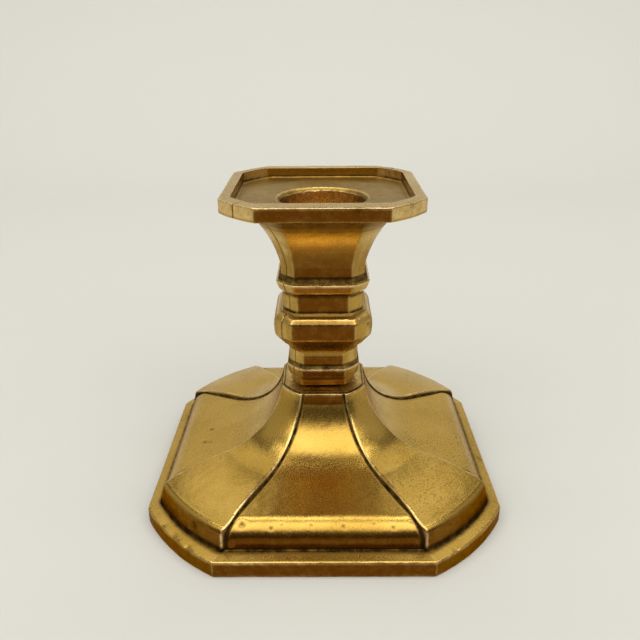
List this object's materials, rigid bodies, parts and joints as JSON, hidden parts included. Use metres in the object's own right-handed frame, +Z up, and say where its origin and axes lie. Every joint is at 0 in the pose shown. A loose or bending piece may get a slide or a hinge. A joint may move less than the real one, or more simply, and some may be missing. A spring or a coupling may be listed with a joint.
{
  "type": "candlestick",
  "caption": "Low brass candlestick: hollow cut-corner square foot swept up to a faceted, knopped stem with a square drip tray round a candle socket.",
  "frame": {"origin": "on the plane the candlestick stands on, directly under the axis of the candle socket", "axes": "+Z up along the axis of the stem and socket, -Y towards the front, X along the front edge of the foot"},
  "size_m": [0.096, 0.096, 0.087],
  "materials": {
    "aged_brass": "satin cast brass with brown patina",
    "stud_steel": "dull darkened steel"
  },
  "bodies": {
    "root": {"base_casting": "aged_brass", "stem_half_front_right": "aged_brass", "stem_half_rear_left": "aged_brass", "tie_stud": "stud_steel", "clamp_washer": "stud_steel", "clamp_nut": "stud_steel"}
  },
  "joints": []
}
